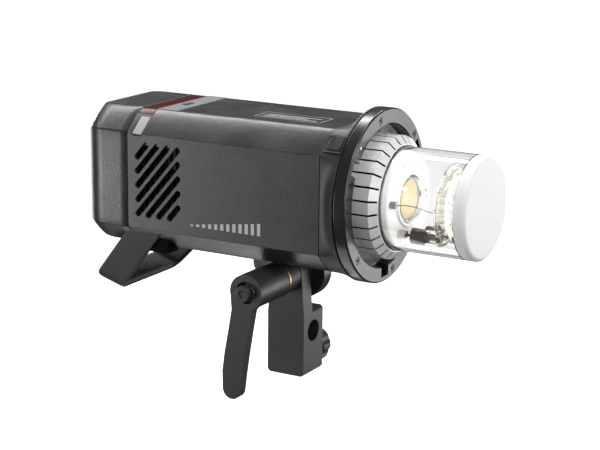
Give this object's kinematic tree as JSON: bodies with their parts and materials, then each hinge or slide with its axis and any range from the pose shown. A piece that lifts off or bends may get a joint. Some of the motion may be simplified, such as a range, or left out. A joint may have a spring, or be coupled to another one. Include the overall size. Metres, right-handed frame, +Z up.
{
  "type": "monolight strobe",
  "caption": "Battery studio flash head with a finned flash barrel, clear glass dome, bayonet ring, rear handle and a lever-locked tilting stand bracket.",
  "frame": {"origin": "centre of the stand socket's mouth, on the bottom face of the bracket block", "axes": "+X along the light axis towards the glass dome, +Y to the lamp's left, +Z up; the stand comes in from -Z"},
  "size_m": [0.3132, 0.138, 0.2081],
  "materials": {
    "cast_metal": "satin dark anodised",
    "steel": "turned",
    "brass": "polished",
    "black_plastic": "fine texture",
    "shell_plastic": "satin, fine lengthwise brushing",
    "panel_plastic": "satin, fine texture",
    "flange_metal": "satin grey, turned",
    "ring_metal": "black anodised, turned",
    "cup_metal": "bright",
    "fin_metal": "bright, brushed",
    "ceramic": "white ceramic",
    "phosphor": "yellow phosphor",
    "clear_glass": "clear",
    "frosted_glass": "frosted white",
    "electrode": "dark fired cap",
    "wire_metal": "drawn",
    "red_lens": "translucent dark red",
    "status_lens": "milky white",
    "strip_plastic": "satin grey",
    "handle_plastic": "satin, fine texture",
    "grip_rubber": "soft ribbed",
    "panel_gloss": "gloss black",
    "display_glass": "dark display",
    "key_rubber": "silicone",
    "red_key": "translucent red",
    "white_key": "milky",
    "capacitor_sleeve": "shrink sleeve",
    "board": "solder mask"
  },
  "bodies": {
    "bracket": {"stand_block": "cast_metal", "block_rosette": "steel"},
    "clamp_pad": {"clamp_pad": "brass"},
    "clamp_knob": {"clamp_knob": "black_plastic"},
    "tilt_bolt": {"tilt_bolt": "steel", "bolt_cap": "black_plastic", "brass_washer": "brass", "lever_collar": "cast_metal", "lever_spring": "steel"},
    "lever": {"tilt_lever": "cast_metal"},
    "release": {"release_slider": "black_plastic", "lock_pin": "steel"},
    "dome": {"glass_dome": "clear_glass", "frosted_cap": "frosted_glass"},
    "battery": {"battery_pack": "shell_plastic", "battery_strip": "strip_plastic"},
    "battery_latch": {"battery_latch": "black_plastic"},
    "dial": {"control_dial": "black_plastic"},
    "set_button": {"set_button": "key_rubber"},
    "soft_key_1": {"soft_key_1": "key_rubber"},
    "soft_key_2": {"soft_key_2": "key_rubber"},
    "soft_key_3": {"soft_key_3": "key_rubber"},
    "soft_key_4": {"soft_key_4": "key_rubber"},
    "test_button": {"test_button": "red_key"},
    "power_button": {"power_button": "white_key"},
    "fan": {"fan_rotor": "black_plastic"},
    "head": {"head_ear": "shell_plastic", "ear_rosette": "steel", "ear_cap": "black_plastic", "lower_shell": "shell_plastic", "upper_shell": "shell_plastic", "side_panel_near": "panel_plastic", "side_panel_far": "panel_plastic", "vent_mesh": "black_plastic", "shell_screws": "steel", "front_flange": "flange_metal", "cup_wall": "cup_metal", "bayonet_ring": "ring_metal", "ring_screws": "steel", "release_frame": "flange_metal", "fin_drum": "fin_metal", "base_plate": "ceramic", "led_chip": "phosphor", "led_lens": "clear_glass", "flash_tube": "clear_glass", "tube_electrodes": "electrode", "plug_posts": "steel", "trigger_wire": "wire_metal", "rear_cap": "shell_plastic", "battery_bay": "black_plastic", "red_window": "red_lens", "status_window": "status_lens", "handle_strap": "handle_plastic", "handle_grip": "grip_rubber", "rear_panel": "panel_gloss", "display_window": "display_glass", "jack_block": "black_plastic", "capacitors": "capacitor_sleeve", "main_board": "board", "fan_frame": "black_plastic"}
  },
  "joints": [
    {"name": "head_tilt", "type": "hinge", "parent": "bracket", "child": "head", "pos_m": [0, 0.009, 0.076], "axis": [0, 1, 0], "range_deg": [-35, 75]},
    {"name": "lever_turn", "type": "hinge", "parent": "bracket", "child": "tilt_bolt", "pos_m": [0, -0.04, 0.076], "axis": [0, 1, 0], "range_deg": [-60, 60]},
    {"name": "lever_pull", "type": "slide", "parent": "tilt_bolt", "child": "lever", "axis": [0, -1, 0], "range_m": [0, 0.004], "stiffness_N_per_m": 900, "springref_m": -0.004, "deforming": ["lever_spring"]},
    {"name": "clamp_turn", "type": "hinge", "parent": "clamp_pad", "child": "clamp_knob", "pos_m": [0, 0.024, 0.013], "axis": [0, -1, 0], "range_deg": [0, 540]},
    {"name": "clamp_advance", "type": "slide", "parent": "bracket", "child": "clamp_pad", "axis": [0, -1, 0], "range_m": [0, 0.00187]},
    {"name": "dome_pull", "type": "slide", "parent": "head", "child": "dome", "axis": [1, 0, 0], "range_m": [0, 0.07]},
    {"name": "battery_lift", "type": "slide", "parent": "head", "child": "battery", "axis": [0, 0, 1], "range_m": [0, 0.045]},
    {"name": "latch_press", "type": "slide", "parent": "battery", "child": "battery_latch", "axis": [0, 0, -1], "range_m": [0, 0.0015], "stiffness_N_per_m": 500, "springref_m": -0.0015},
    {"name": "release_slide", "type": "slide", "parent": "head", "child": "release", "axis": [-1, 0, 0], "range_m": [0, 0.0022], "stiffness_N_per_m": 600, "springref_m": -0.002},
    {"name": "dial_turn", "type": "hinge", "parent": "head", "child": "dial", "pos_m": [-0.159, 0, 0.112], "axis": [-1, 0, 0], "continuous": true},
    {"name": "set_press", "type": "slide", "parent": "head", "child": "set_button", "axis": [1, 0, 0], "range_m": [0, 0.001], "stiffness_N_per_m": 400, "springref_m": -0.001},
    {"name": "soft_key_1_press", "type": "slide", "parent": "head", "child": "soft_key_1", "axis": [1, 0, 0], "range_m": [0, 0.001], "stiffness_N_per_m": 400, "springref_m": -0.001},
    {"name": "soft_key_2_press", "type": "slide", "parent": "head", "child": "soft_key_2", "axis": [1, 0, 0], "range_m": [0, 0.001], "stiffness_N_per_m": 400, "springref_m": -0.001},
    {"name": "soft_key_3_press", "type": "slide", "parent": "head", "child": "soft_key_3", "axis": [1, 0, 0], "range_m": [0, 0.001], "stiffness_N_per_m": 400, "springref_m": -0.001},
    {"name": "soft_key_4_press", "type": "slide", "parent": "head", "child": "soft_key_4", "axis": [1, 0, 0], "range_m": [0, 0.001], "stiffness_N_per_m": 400, "springref_m": -0.001},
    {"name": "test_press", "type": "slide", "parent": "head", "child": "test_button", "axis": [1, 0, 0], "range_m": [0, 0.001], "stiffness_N_per_m": 400, "springref_m": -0.001},
    {"name": "power_press", "type": "slide", "parent": "head", "child": "power_button", "axis": [1, 0, 0], "range_m": [0, 0.001], "stiffness_N_per_m": 400, "springref_m": -0.001},
    {"name": "fan_spin", "type": "hinge", "parent": "head", "child": "fan", "pos_m": [0.0115, 0, 0.141], "axis": [1, 0, 0], "continuous": true}
  ],
  "couplings": [
    {"joint": "clamp_turn", "follows": "clamp_advance", "rad_per_m": 5026.5}
  ]
}
